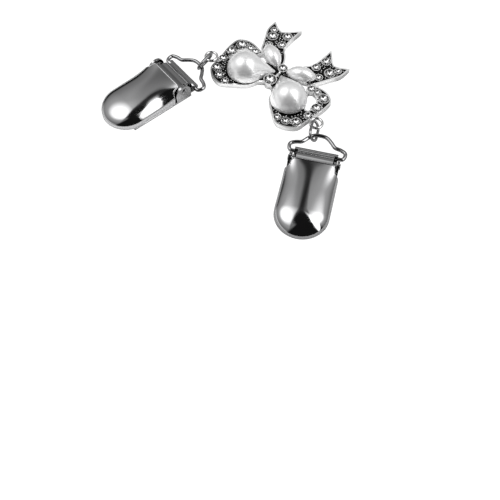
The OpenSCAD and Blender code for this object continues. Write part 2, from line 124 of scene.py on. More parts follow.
# The paper's colour is painted lighter in pools of light round the piece, and falls to LEAST_LIT
# beyond them.
for x, y, full, end in PAINTED_LIGHT_POOLS:
    middle = (x * MM, y * MM, -TABLE_DROP * MM)
    away = add_node(nodes, "VectorMath", {1: middle}, operation="DISTANCE")
    links.new(spot.outputs["Object"], away.inputs[0])
    fall = add_node(nodes, "MapRange", {
        "From Min": full * MM, "From Max": end * MM, "To Min": 1, "To Max": POOL_END,
    }, interpolation_type="SMOOTHSTEP")
    links.new(away.outputs["Value"], fall.inputs["Value"])
    brighter = add_node(nodes, "Math", operation="MAXIMUM")
    links.new(fall.outputs["Result"], brighter.inputs[0])
    links.new(painted_lightness, brighter.inputs[1])
    painted_lightness = brighter.outputs[0]
tone = add_node(nodes, "Mix", {
    "A": (0, 0, 0, 1), "B": (PAPER_WHITE, PAPER_WHITE, PAPER_WHITE, 1),
}, data_type="RGBA")
links.new(painted_lightness, tone.inputs["Factor"])
matt = add_node(nodes, "BsdfDiffuse")
# A faint painted glow in the same tone as the painted pools of light: the paper is no lamp.
painted_glow = add_node(nodes, "Emission", {"Strength": PAINTED_PAPER_GLOW})
links.new(tone.outputs["Result"], matt.inputs["Color"])
links.new(tone.outputs["Result"], painted_glow.inputs["Color"])
lit = add_node(nodes, "AddShader")
links.new(matt.outputs[0], lit.inputs[0])
links.new(painted_glow.outputs[0], lit.inputs[1])
ray = add_node(nodes, "LightPath")
side = add_node(nodes, "NewGeometry")
unseen = add_node(nodes, "Math", operation="MAXIMUM")
links.new(ray.outputs["Is Camera Ray"], unseen.inputs[0])
links.new(side.outputs["Backfacing"], unseen.inputs[1])
clear = add_node(nodes, "BsdfTransparent")
either = add_node(nodes, "MixShader")
links.new(unseen.outputs[0], either.inputs[0])
links.new(lit.outputs[0], either.inputs[1])
links.new(clear.outputs[0], either.inputs[2])
to_surface(nodes, links, either)

bm = bmesh.new()
bmesh.ops.create_grid(bm, x_segments=1, y_segments=1, size=TABLE_HALF * MM)
bmesh.ops.translate(bm, verts=bm.verts, vec=(0, 0, -TABLE_DROP * MM))
table = new_piece("table_sheet", bm)
table.data.materials.append(paper)


# Studio: two oval soft boxes hang over the piece, one to its left and one behind it,
# with a long strip light to its right and a small card behind the left clip, in a room
# that is dim grey on the boxes' side and black on the camera's side.
# Everything lies on a map of the sky: degrees from straight up, along a compass
# direction that is counted from +X towards +Y. A fade is given as the place where it is
# nothing and the place where it is full, an oval's in shares of its half sizes.
SOFT_BOXES = [
    # straight edge: direction, distance; oval: middle, long axis, half sizes;
    # brightness; whether the cut trims it
    (191, 12.0, (-26, -10), 90, (14, 16), 2.6, False),
    (56.3, 12.0, (19, 21), 44, (16, 12), 2.8, True),
]
CUT = (90, 6.5)
EDGE_SOFT = 1.2
BOX_FADE = (1.7, 0.4)
SPILL_FADE = (3.4, 1.0)
SPILL = 0.48
# The strip: middle, half sizes and brightness, its fade, and the straight edge it ends at.
STRIP = ((42, 10), (42, 6), 3.1)
STRIP_FADE = (1.3, 0.8)
STRIP_EDGE = (77, 10.6)
STRIP_EDGE_SOFT = 0.8
# The small card behind the boxes: middle, half sizes and brightness, and its fade.
BACK_CARD = ((-24.5, 34.5), (6.5, 6.5), 0.75)
CARD_FADE = (1.2, 0.5)
# The room's grey and the direction of its black side, both as they fade round the compass.
ROOM_GREY = 0.34
ROOM_BLACK = 0.015
DARK_SIDE = -36
DARK_SIDE_FADE = (0.62, 0.44)
# A patch of the room that is dimmer: middle, long axis, half sizes, share taken away.
DIM_PATCH = ((-27, 23), -27, (18, 10), 0.6)
PATCH_FADE = (1.3, 0.6)
# A glow low over the table and a dark skirting: direction, fade round the compass and
# fade down the sky.
LOW_GLOW = (226, (0.7, 0.95), (66, 86))
LOW_GLOW_POWER = 0.95
DARK_SKIRTING = (150, (0.75, 0.95), (68, 80))
# A dark gap across the top between the boxes: direction across it, shift, half width's
# fade, what is left of the light in it, and where it ends down the sky.
GAP = (34, 2, (0.8, 7), 0.14, (37, 46))
TOP_FADE = (9, 18)
PAPER_LIFT = 2.0
PLAIN_WHITE = 1.15

world = bpy.data.worlds.new("studio")
world.use_nodes = True
bpy.context.scene.world = world
nodes, links = world.node_tree.nodes, world.node_tree.links
nodes.clear()


def calc(operation, a, b=None):
    """One sum on two values, each a number or another node's result."""
    step = add_node(nodes, "Math", operation=operation)
    for socket, value in zip(step.inputs, (a, b)):
        if isinstance(value, (int, float)):
            socket.default_value = value
        elif value is not None:
            links.new(value, socket)
    return step.outputs[0]


def product(made, *others):
    """All the given values multiplied together."""
    for other in others:
        made = calc("MULTIPLY", made, other)
    return made


def fade(value, start, end, low=0.0, high=1.0):
    """Runs smoothly from low at start to high at end, whichever of the two is larger."""
    rising = start < end
    step = add_node(nodes, "MapRange", {
        "From Min": min(start, end), "From Max": max(start, end),
        "To Min": low if rising else high, "To Max": high if rising else low,
    }, interpolation_type="SMOOTHSTEP")
    links.new(value, step.inputs["Value"])
    return step.outputs["Result"]


def along(vector, turn):
    """How far a vector of the map reaches in a compass direction."""
    way = (math.cos(math.radians(turn)), math.sin(math.radians(turn)), 0)
    step = add_node(nodes, "VectorMath", {1: way}, operation="DOT_PRODUCT")
    links.new(vector, step.inputs[0])
    return step.outputs["Value"]


looking = add_node(nodes, "TexCoord")
split = add_node(nodes, "SeparateXYZ")
links.new(looking.outputs["Generated"], split.inputs[0])
from_top = product(calc("ARCCOSINE", split.outputs["Z"]), 180 / math.pi)
level = add_node(nodes, "CombineXYZ")
links.new(split.outputs["X"], level.inputs["X"])
links.new(split.outputs["Y"], level.inputs["Y"])
heading = add_node(nodes, "VectorMath", operation="NORMALIZE")
links.new(level.outputs[0], heading.inputs[0])
compass = heading.outputs[0]
scaled = add_node(nodes, "VectorMath", operation="SCALE")
links.new(compass, scaled.inputs[0])
links.new(from_top, scaled.inputs["Scale"])
sky_map = scaled.outputs[0]


def oval(middle, axis, half):
    """How far out a sky direction lies, 1 on the oval's edge."""
    squares = 0.0
    for turn, size in ((axis, half[0]), (axis + 90, half[1])):
        way = math.radians(turn)
        centre = middle[0] * math.cos(way) + middle[1] * math.sin(way)
        share = calc("DIVIDE", calc("SUBTRACT", along(sky_map, turn), centre), size)
        squares = calc("ADD", squares, product(share, share))
    return calc("SQRT", squares)


def beyond(turn, distance, soft=EDGE_SOFT):
    """1 past a straight line across the sky, 0 short of it."""
    return fade(along(sky_map, turn), distance - soft, distance + soft)


def low_band(turn, round_fade, down_fade):
    """A band low in the sky on one side of the compass."""
    return product(fade(along(compass, turn), *round_fade), fade(from_top, *down_fade))


def all_but(value):
    """What a share leaves."""
    return calc("SUBTRACT", 1, value)


glow = product(fade(along(compass, DARK_SIDE), *DARK_SIDE_FADE), ROOM_GREY)
middle, axis, half, share = DIM_PATCH
patch = product(fade(oval(middle, axis, half), *PATCH_FADE), share)
glow = product(glow, all_but(patch))
glow = calc("ADD", glow, product(low_band(*LOW_GLOW), LOW_GLOW_POWER))
glow = product(glow, all_but(low_band(*DARK_SKIRTING)))

soft_light, spill = 0.0, 0.0
for turn, distance, middle, axis, half, power, trimmed in SOFT_BOXES:
    inner = beyond(turn, distance)
    if trimmed:
        inner = product(inner, beyond(*CUT))
    out_way = oval(middle, axis, half)
    soft_light = calc("ADD", soft_light, product(inner, fade(out_way, *BOX_FADE), power))
    spill = calc("MAXIMUM", spill, product(inner, fade(out_way, *SPILL_FADE), SPILL))
middle, half, power = STRIP
strip = product(
    fade(oval(middle, 0, half), *STRIP_FADE), beyond(*STRIP_EDGE, STRIP_EDGE_SOFT), power)
soft_light = calc("ADD", soft_light, strip)
middle, half, power = BACK_CARD
card = product(fade(oval(middle, 0, half), *CARD_FADE), power)
soft_light = calc("ADD", soft_light, card)

turn, shift, width, left_in_gap, ends = GAP
gap = calc("ABSOLUTE", calc("ADD", along(sky_map, turn), shift))
gap = fade(gap, *width, low=left_in_gap)
gap = calc("MAXIMUM", gap, fade(from_top, *ends))
glow = product(calc("ADD", glow, spill), product(gap, fade(from_top, *TOP_FADE)))
glow = calc("ADD", calc("ADD", glow, soft_light), ROOM_BLACK)
ray = add_node(nodes, "LightPath")
on_paper = product(ray.outputs["Is Diffuse Ray"], PAPER_LIFT)
glow = product(glow, calc("ADD", on_paper, 1))

room = add_node(nodes, "Background", {"Color": (1, 1, 1, 1)})
links.new(glow, room.inputs["Strength"])
plain = add_node(nodes, "Background", {"Color": (1, 1, 1, 1), "Strength": PLAIN_WHITE})
either = add_node(nodes, "MixShader")
links.new(ray.outputs["Is Camera Ray"], either.inputs[0])
links.new(room.outputs[0], either.inputs[1])
links.new(plain.outputs[0], either.inputs[2])
to_surface(nodes, links, either, "OutputWorld")


# Bow metal: one casting in white metal, silver plated, then blackened and rubbed, so
# the plate shines on the rims and cups and stays dark in the channels between them,
# with painted shade in that dark, deepest at the channel floor. The soldered rings at
# its sides are part of it.
SILVER = (0.78, 0.78, 0.78)
BLACKENED_AND_SHADE = (0.02, 0.02, 0.02)
CHANNEL_FLOOR = 1.5
RIM_TOP = 2.1
# The blackening and the painted shade start to fade above the floor and are gone above the rims.
DARK_FADE_FROM, DARK_FADE_TO = CHANNEL_FLOOR + 0.33, RIM_TOP + 0.3
RUBBED_PATCHES = 0.5
BOW_EDGE = 0.16
# Degrees from which an edge stays crisp, and up to which neighbouring facets are one.
SHARP = 35
FLAT = 0.5
MERGE = 0.004
# How far a face may lie off the channel's floor, and how much its normal looks up: at
# least so much for a floor, at most so much for a wall.
FLOOR_SLACK = 0.01
LEVEL, UPRIGHT = 0.99, 0.3

# Polishing marks and handling, for every metal: a fine grain and faint cloudy smears.
polish = bpy.data.node_groups.new("polish_marks", "ShaderNodeTree")
for way, name, value in (
    ("INPUT", "Grain Size", 0.4), ("INPUT", "Smoothest", 0.05), ("INPUT", "Roughest", 0.2),
    ("OUTPUT", "Roughness", None), ("OUTPUT", "Shade", None), ("OUTPUT", "Height", None),
):
    socket = polish.interface.new_socket(
        name=name, in_out=way, socket_type="NodeSocketFloat")
    if value is not None:
        socket.default_value = value
given = polish.nodes.new("NodeGroupInput")
result = polish.nodes.new("NodeGroupOutput")
place = add_node(polish.nodes, "TexCoord")
scale = add_node(polish.nodes, "Math", {0: 1 / MM}, operation="DIVIDE")
grain = add_node(polish.nodes, "TexNoise", {"Detail": 3})
cloud = add_node(polish.nodes, "TexNoise", {"Scale": 0.22 / MM, "Detail": 4})
spread = add_node(polish.nodes, "MapRange", {"From Min": 0.35, "From Max": 0.7})
polish.links.new(given.outputs["Grain Size"], scale.inputs[1])
polish.links.new(place.outputs["Object"], grain.inputs["Vector"])
polish.links.new(scale.outputs[0], grain.inputs["Scale"])
polish.links.new(place.outputs["Object"], cloud.inputs["Vector"])
polish.links.new(cloud.outputs["Fac"], spread.inputs["Value"])
polish.links.new(given.outputs["Smoothest"], spread.inputs["To Min"])
polish.links.new(given.outputs["Roughest"], spread.inputs["To Max"])
polish.links.new(spread.outputs["Result"], result.inputs["Roughness"])
polish.links.new(cloud.outputs["Fac"], result.inputs["Shade"])
polish.links.new(grain.outputs["Fac"], result.inputs["Height"])


def polished(name, colour, grain_size, smoothest, roughest, grain_depth, worn=0.12):
    """A bright metal whose shine varies a little over the surface."""
    material, nodes, links = bare_material(name)
    body = add_node(nodes, "BsdfPrincipled", {"Metallic": 1})
    marks = add_node(nodes, "Group", {
        "Grain Size": grain_size, "Smoothest": smoothest, "Roughest": roughest,
    }, node_tree=polish)
    tint = add_node(nodes, "Mix", {
        "A": (*colour, 1), "B": (*[c * (1 - worn) for c in colour], 1),
    }, data_type="RGBA")
    bump = add_node(nodes, "Bump", {"Strength": 1, "Distance": grain_depth * MM})
    links.new(marks.outputs["Shade"], tint.inputs["Factor"])
    links.new(marks.outputs["Height"], bump.inputs["Height"])
    links.new(bump.outputs["Normal"], body.inputs["Normal"])
    links.new(marks.outputs["Roughness"], body.inputs["Roughness"])
    links.new(tint.outputs["Result"], body.inputs["Base Color"])
    to_surface(nodes, links, body)
    return material, nodes, links, body, tint


silver_plate, *_ = polished(
    "silver_plate", SILVER, grain_size=0.5, smoothest=0.07, roughest=0.2, grain_depth=0.004)
dark_plate, nodes, links, body, tint = polished(
    "blackened_and_shaded_channel", SILVER, grain_size=0.4, smoothest=0.3, roughest=0.6, grain_depth=0.01)
# Darker towards the channel floor by height: the casting's blackening together with painted
# shade in the recess, its upper edge shifted in patches.
where = add_node(nodes, "TexCoord")
height = add_node(nodes, "SeparateXYZ")
patches = add_node(nodes, "TexNoise", {"Scale": 0.9 / MM})
lift = add_node(nodes, "Math", {1: RUBBED_PATCHES * MM}, operation="MULTIPLY_ADD")
dark_fade = add_node(nodes, "MapRange", {
    "From Min": DARK_FADE_FROM * MM, "From Max": DARK_FADE_TO * MM,
}, interpolation_type="SMOOTHSTEP")
blackening_and_shade = add_node(nodes, "Mix", {"A": (*BLACKENED_AND_SHADE, 1)}, data_type="RGBA")
links.new(where.outputs["Object"], height.inputs[0])
links.new(where.outputs["Object"], patches.inputs["Vector"])
links.new(patches.outputs["Fac"], lift.inputs[0])
links.new(height.outputs["Z"], lift.inputs[2])
links.new(lift.outputs[0], dark_fade.inputs["Value"])
links.new(dark_fade.outputs["Result"], blackening_and_shade.inputs["Factor"])
links.new(tint.outputs["Result"], blackening_and_shade.inputs["B"])
links.new(blackening_and_shade.outputs["Result"], body.inputs["Base Color"])


def cad_copy(node):
    """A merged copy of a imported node's metal, its flat faces whole."""
    bm = bmesh.new()
    bm.from_mesh(frame["nodes"][node].data)
    bmesh.ops.remove_doubles(bm, verts=bm.verts, dist=MERGE * MM)
    bmesh.ops.dissolve_degenerate(bm, edges=bm.edges, dist=MERGE * MM)
    bmesh.ops.dissolve_limit(
        bm, angle_limit=math.radians(FLAT), verts=bm.verts, edges=bm.edges)
    return bm


def smooth_faces(bm):
    """Smooth shading on every face."""
    for face in bm.faces:
        face.smooth = True


def edge_angles(bm, limit):
    """Smooth shading, with the edges sharper than the limit kept crisp."""
    smooth_faces(bm)
    for edge in bm.edges:
        soft = len(edge.link_faces) == 2 and edge.calc_face_angle(0) < math.radians(limit)
        edge.smooth = soft


def eased(piece, width, limit=SHARP):
    """A small rounding along the piece's edges."""
    ease = piece.modifiers.new("edges", "BEVEL")
    ease.width = width * MM
    ease.segments = 2
    ease.profile = 0.5
    ease.limit_method = "ANGLE"
    ease.angle_limit = math.radians(limit)
    ease.harden_normals = True


bm = cad_copy("bow_frame")
bm.normal_update()
# The channel's floor and the walls beside it take the dark material of blackening and painted
# shade.
floor_faces = [
    f for f in bm.faces if f.normal.z > LEVEL
    and abs(f.calc_center_median().z - CHANNEL_FLOOR * MM) < FLOOR_SLACK * MM
]
for face in floor_faces:
    face.material_index = 1
    for edge in face.edges:
        for wall in edge.link_faces:
            if abs(wall.normal.z) < UPRIGHT:
                wall.material_index = 1
edge_angles(bm, SHARP)
bow_metal = new_piece("bow_metal", bm)
bow_metal.data.materials.append(silver_plate)
bow_metal.data.materials.append(dark_plate)
eased(bow_metal, BOW_EDGE)
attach(bow_metal, "bow")
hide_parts("bow_frame")


# Cut stones: clear glass with a mirror foil on its pointed back, round, with an
# eight-sided table and kite and star facets. Each sits in a cup cast in the metal.
# Sizes are shares of the stone's radius, and angles are degrees.
FACETS = 8
TABLE_SHARE = 0.56
KITE_SHARE, KITE_RISE = 0.80, 0.178
CROWN_RISE = 0.30
GIRDLE = 0.24
BACK_SHARE, BACK_RISE = 0.42, 0.115
ONE_FACET = 2
FOIL_BELOW = -0.1

glass, nodes, links = bare_material("clear_glass")
body = add_node(nodes, "BsdfPrincipled", {
    "Base Color": (1, 1, 1, 1), "Roughness": 0.0, "IOR": 1.55, "Transmission Weight": 1,
})
to_surface(nodes, links, body)
foil, *_ = polished(
    "mirror_foil", (0.93, 0.93, 0.93),
    grain_size=0.8, smoothest=0.01, roughest=0.06, grain_depth=0.002)


def cut_stone(name, node):
    """The hull of the rings of corners between a stone's facets."""
    low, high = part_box(node)
    middle = (low + high) / 2
    r = (high.x - low.x) / 2
    crown = high.z - CROWN_RISE * r
    bm = bmesh.new()
    for height, share, count, offset in (
        (high.z, TABLE_SHARE, FACETS, 0),
        (crown + KITE_RISE * r, KITE_SHARE, FACETS, 0.5),
        (crown, 1, 2 * FACETS, 0),
        (crown - GIRDLE * r, 1, 2 * FACETS, 0),
        (low.z + BACK_RISE * r, BACK_SHARE, FACETS, 0.5),
    ):
        ring = bmesh.ops.create_circle(bm, segments=count, radius=r * share)["verts"]
        turn = Matrix.Rotation(offset * 2 * math.pi / count, 3, "Z")
        bmesh.ops.rotate(bm, verts=ring, cent=(0, 0, 0), matrix=turn)
        bmesh.ops.translate(bm, verts=ring, vec=(middle.x, middle.y, height))
    bmesh.ops.delete(bm, geom=bm.edges[:], context="EDGES_FACES")
    bmesh.ops.create_vert(bm, co=(middle.x, middle.y, low.z))
    bmesh.ops.convex_hull(bm, input=bm.verts)
    bmesh.ops.dissolve_limit(
        bm, angle_limit=math.radians(ONE_FACET), verts=bm.verts, edges=bm.edges)
    bmesh.ops.recalc_face_normals(bm, faces=bm.faces)
    bm.normal_update()
    for face in bm.faces:
        face.material_index = 1 if face.normal.z < FOIL_BELOW else 0
    made = new_piece(name, bm)
    made.data.materials.append(glass)
    made.data.materials.append(foil)
    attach(made, "bow")
    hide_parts(node)
    return middle, r, high.z


stones = {}
for node in frame["nodes"]:
    if "stone" in node:
        stones[node] = cut_stone(node + "_cut", node)


# Claws and grains: little beads raised from the metal. Four claws fold over the edge
# of each stone, and pairs of grains fill the channel between two stones.
CLAW = 0.40
CLAW_OUT = 0.16
CLAW_LIFT = 0.12
SMALL_STONE = 1.3
SMALL_CLAW = 0.8
GRAIN = 0.34
GRAIN_APART = 1.05
GRAIN_DROP = 0.1
BEAD_TAPER = 0.86
# The stones that have a pair of grains between them and the next stone of their row.
GRAINS_AFTER = {"loop_stone": range(1, 7), "tail_stone": (2,)}


def bead(bm, at, r):
    """A ball on a stem that stands on the channel's floor."""
    bmesh.ops.create_icosphere(
        bm, subdivisions=1, radius=r * MM, matrix=Matrix.Translation(at))
    tall = at.z - CHANNEL_FLOOR * MM
    bmesh.ops.create_cone(
        bm, segments=6, radius1=r * MM, radius2=r * BEAD_TAPER * MM, depth=tall,
        matrix=Matrix.Translation((at.x, at.y, at.z - tall / 2)))


bm = bmesh.new()
for middle, r, top in stones.values():
    girdle_top = top - CROWN_RISE * r
    size = CLAW * (SMALL_CLAW if r < SMALL_STONE * MM else 1)
    for k in range(4):
        way = math.radians(45 + 90 * k)
        foot = Vector((middle.x, middle.y, girdle_top + CLAW_LIFT * MM))
        out = Vector((math.cos(way), math.sin(way), 0)) * (r + CLAW_OUT * MM)
        bead(bm, foot + out, size)
for side in ("left", "right"):
    for row, numbers in GRAINS_AFTER.items():
        for i in numbers:
            here, r1, _ = stones[f"{side}_{row}_{i}"]
            there, r2, _ = stones[f"{side}_{row}_{i + 1}"]
            step = there - here
            cross = Vector((-step.y, step.x, 0)).normalized()
            mid = here + step * (0.5 + 0.5 * (r1 - r2) / step.length)
            for sign in (-1, 1):
                at = Vector((mid.x, mid.y, (RIM_TOP - GRAIN_DROP) * MM))
                bead(bm, at + cross * sign * GRAIN_APART * MM, GRAIN)
smooth_faces(bm)
claws = new_piece("claws_and_grains", bm)
claws.data.materials.append(silver_plate)
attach(claws, "bow")


# Pearls: half-round beads of white glass under a pearl lacquer, flat on the back and
# glued to the metal. Two are drops, two are narrow leaves.
PEARL_WHITE = (0.89, 0.89, 0.89)
PEARL_SHADE = (0.79, 0.79, 0.795)
PEARL_EDGE = 0.12
PEARL_SHARP = 50
PEARL_TURNS = 72
PEARL_MERGE = 0.002
# Width, length and height of the flat back over the table; then for each side where the
# tip lies and which way the pearl points.
DROP_SIZE = (14.6, 19.5, 2.4)
DROPS = {"left": (-1.55, -0.7, 216), "right": (1.55, -0.7, -36)}
DROP_TIP = 0.6
TIP_STEPS, BODY_STEPS = 6, 28
LEAF_SIZE = (6.9, 12.4, 3.1)
LEAVES = {"left": (-2.1, 1.5, 153.5), "right": (2.1, 1.5, 26.5)}
LEAF_FULLNESS = 0.72
LEAF_STEPS = 32

pearl, nodes, links = bare_material("pearl_lacquer")
body = add_node(nodes, "BsdfPrincipled", {
    "Metallic": 0.5, "Coat Weight": 1, "Coat Roughness": 0.12, "Coat IOR": 1.6,
})
where = add_node(nodes, "TexCoord")
swirl = add_node(nodes, "TexNoise", {"Scale": 0.12 / MM, "Detail": 3, "Distortion": 1.2})
speck = add_node(nodes, "TexNoise", {"Scale": 3.5 / MM})
tone = add_node(
    nodes, "Mix", {"A": (*PEARL_WHITE, 1), "B": (*PEARL_SHADE, 1)}, data_type="RGBA")
satin = add_node(nodes, "MapRange", {"To Min": 0.30, "To Max": 0.42})
bump = add_node(nodes, "Bump", {"Strength": 1, "Distance": 0.002 * MM})
links.new(where.outputs["Object"], swirl.inputs["Vector"])
links.new(where.outputs["Object"], speck.inputs["Vector"])
links.new(swirl.outputs["Fac"], tone.inputs["Factor"])
links.new(tone.outputs["Result"], body.inputs["Base Color"])
links.new(swirl.outputs["Fac"], satin.inputs["Value"])
links.new(satin.outputs["Result"], body.inputs["Roughness"])
links.new(speck.outputs["Fac"], bump.inputs["Height"])
links.new(bump.outputs["Normal"], body.inputs["Normal"])
to_surface(nodes, links, body)


def half_pearl(name, node, outline, place, seat):
    """Spins an outline about its own axis, keeps the upper half and closes the back."""
    bm = bmesh.new()
    line = [bm.verts.new((x * MM, y * MM, 0)) for x, y in outline]
    edges = [bm.edges.new(pair) for pair in zip(line, line[1:])]
    bmesh.ops.spin(
        bm, geom=line + edges, cent=(0, 0, 0), axis=(0, 1, 0), dvec=(0, 0, 0),
        angle=2 * math.pi, steps=PEARL_TURNS, use_merge=True)
    bmesh.ops.remove_doubles(bm, verts=bm.verts, dist=PEARL_MERGE * MM)
    bmesh.ops.bisect_plane(
        bm, geom=bm.verts[:] + bm.edges[:] + bm.faces[:], plane_co=(0, 0, 0),
        plane_no=(0, 0, 1), clear_inner=True)
    bmesh.ops.holes_fill(bm, edges=[e for e in bm.edges if e.is_boundary])
    bmesh.ops.recalc_face_normals(bm, faces=bm.faces)
    x, y, pointing = place
    turn = Matrix.Rotation(math.radians(pointing - 90), 4, "Z")
    move = Matrix.Translation((x * MM, y * MM, seat * MM)) @ turn
    bmesh.ops.transform(bm, matrix=move, verts=bm.verts)
    edge_angles(bm, PEARL_SHARP)
    made = new_piece(name, bm)
    made.data.materials.append(pearl)
    eased(made, PEARL_EDGE)
    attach(made, "bow")
    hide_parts(node)
    return made


drop_w, drop_l, drop_seat = DROP_SIZE
r = drop_w / 2
lean = math.asin((r - DROP_TIP) / (drop_l - r - DROP_TIP))
tip_angles = [i * (math.pi / 2 - lean) / TIP_STEPS for i in range(TIP_STEPS + 1)]
body_angles = [-lean + i * (math.pi / 2 + lean) / BODY_STEPS for i in range(BODY_STEPS + 1)]
drop_outline = [
    (DROP_TIP * math.sin(t), DROP_TIP * (1 - math.cos(t))) for t in tip_angles
] + [
    (r * math.cos(t), drop_l - r + r * math.sin(t)) for t in body_angles
]
leaf_w, leaf_l, leaf_seat = LEAF_SIZE
leaf_outline = [
    (leaf_w / 2 * max(0, 1 - t * t) ** LEAF_FULLNESS, leaf_l / 2 * (1 + t))
    for t in [-math.cos(i * math.pi / LEAF_STEPS) for i in range(LEAF_STEPS + 1)]
]
pearl_beads = []
for side in ("left", "right"):
    pearl_beads.append(half_pearl(
        f"{side}_drop_bead", f"{side}_drop_pearl", drop_outline, DROPS[side], drop_seat))
    pearl_beads.append(half_pearl(
        f"{side}_leaf_bead", f"{side}_leaf_pearl", leaf_outline, LEAVES[side], leaf_seat))


# Channel grains: rows of small beads raised over the blackened floor wherever it lies
# open between the pearls, the cups and the rims.
FINE_GRAIN = 0.36
FINE_APART = 1.24
ROW_APART = FINE_APART * 0.866
FINE_DROP = 0.15
CLEAR = 0.40
CLEAR_SLACK = 0.02
LOOK_FROM = 20

open_floor = bmesh.new()
for piece in [bow_metal, claws] + pearl_beads:
    open_floor.from_mesh(piece.data)
seen_from_above = BVHTree.FromBMesh(open_floor)
open_floor.free()


def on_floor(x, y):
    """Whether the channel's floor lies open under a point."""
    hit = seen_from_above.ray_cast(Vector((x, y, LOOK_FROM)) * MM, Vector((0, 0, -1)))[0]
    return hit is not None and abs(hit.z / MM - CHANNEL_FLOOR) < CLEAR_SLACK


around = [(0, 0)] + [
    (CLEAR * math.cos(k * math.pi / 4), CLEAR * math.sin(k * math.pi / 4)) for k in range(8)
]
bm = bmesh.new()
low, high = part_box("bow_frame")
rows = int((high.y - low.y) / (ROW_APART * MM))
columns = int((high.x - low.x) / (FINE_APART * MM))
for row in range(rows + 1):
    for column in range(columns + 1):
        x = low.x / MM + (column + 0.5 * (row % 2)) * FINE_APART
        y = low.y / MM + row * ROW_APART
        if all(on_floor(x + dx, y + dy) for dx, dy in around):
            bead(bm, Vector((x, y, RIM_TOP - FINE_DROP)) * MM, FINE_GRAIN)
smooth_faces(bm)
fine_grains = new_piece("channel_grains", bm)
fine_grains.data.materials.append(silver_plate)
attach(fine_grains, "bow")


# Bails and jump rings: drawn wire, bent, closed and plated. A bail's straight bar
# turns in the rolled end of its clip, and the oval ring links it to the bow.
WIRE_SILVER = (0.32, 0.32, 0.325)
WIRE_SIDES = 20
BAIL_WIRE = 1.48
# Half the bail's outline from the bar's end to the middle, as shares of its half width
# and its height; then those sizes and how far its top rises off the table.
BAIL_HALF = [
    (0.90, 0.00), (0.96, 0.045), (1.00, 0.15), (0.99, 0.34), (0.81, 0.465),
    (0.60, 0.53), (0.44, 0.74), (0.24, 0.95), (0.00, 1.00),
]
BAIL_SIZE = (10.6, 8.5, 0.67)
BAR_POINTS = (0.7, 0.35, 0, -0.35, -0.7)
BEND_STEPS = 4
BAR_Y = 4.2
BAR_Z = 1.63
RING_WIRE = 1.1
RING_SIZE = (9.2, 5.8)
RING_STEPS = 16
# Which way each oval ring points, and how far it is tipped on its side.
RINGS = {"left": (-85, 70), "right": (-62, -56.5)}

wire_silver, *_ = polished(
    "drawn_wire", WIRE_SILVER, grain_size=0.35, smoothest=0.06, roughest=0.18,
    grain_depth=0.004)


def smooth_path(points, steps):
    """Points of a closed spline through the given ones."""
    n = len(points)
    made = []
    for i in range(n):
        a, b, c, d = (points[(i + k) % n] for k in (-1, 0, 1, 2))
        for j in range(steps):
            t = j / steps
            made.append(0.5 * (
                2 * b + (c - a) * t + (2 * a - 5 * b + 4 * c - d) * t ** 2
                + (3 * b - a - 3 * c + d) * t ** 3))
    return made


def only(kind, geom):
    """The corners or the edges among what an operator made."""
    return [g for g in geom if isinstance(g, kind)]


def closed_wire(bm, path, wire):
    """Carries a round section along a closed path and joins its ends."""
    n = len(path)
    stations = []
    facing = Vector((0, 0, 1))
    turn = Matrix.Identity(3)
    for i, p in enumerate(path):
        onward = (path[(i + 1) % n] - path[i - 1]).normalized()
        turn = facing.rotation_difference(onward).to_matrix() @ turn
        facing = onward
        stations.append(Matrix.Translation(p * MM) @ turn.to_4x4())
    first = bmesh.ops.create_circle(bm, segments=WIRE_SIDES, radius=wire / 2 * MM)["verts"]
    bmesh.ops.transform(bm, matrix=stations[0], verts=first)
    start = list(dict.fromkeys(e for v in first for e in v.link_edges))
    ring = start
    for before, now in zip(stations, stations[1:]):
        grown = bmesh.ops.extrude_edge_only(bm, edges=ring)["geom"]
        bmesh.ops.transform(
            bm, matrix=now @ before.inverted(), verts=only(bmesh.types.BMVert, grown))
        ring = only(bmesh.types.BMEdge, grown)
    bmesh.ops.bridge_loops(bm, edges=start + ring)
    bmesh.ops.recalc_face_normals(bm, faces=bm.faces)


def bent_wire(name, path, wire, place):
    """A piece of silver wire along a closed path, put in its place."""
    bm = bmesh.new()
    closed_wire(bm, path, wire)
    bmesh.ops.transform(bm, matrix=place, verts=bm.verts)
    smooth_faces(bm)
    made = new_piece(name, bm)
    made.data.materials.append(wire_silver)
    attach(made, "bow")
    return made


def clip_place(side):
    """The clip's own frame: +Y from its jaw to its bail, and the origin under the bar."""
    hinge = next(j for j in frame["joints"] if j["name"] == side + "_bail_hinge")
    x_way = -Vector(hinge["axis"])
    y_way = Vector((-x_way.y, x_way.x, 0))
    turn = Matrix((x_way, y_way, Vector((0, 0, 1)))).transposed().to_4x4()
    bar = Vector(hinge["pos_m"])
    return Matrix.Translation(Vector((bar.x, bar.y, 0)) - y_way * BAR_Y * MM) @ turn


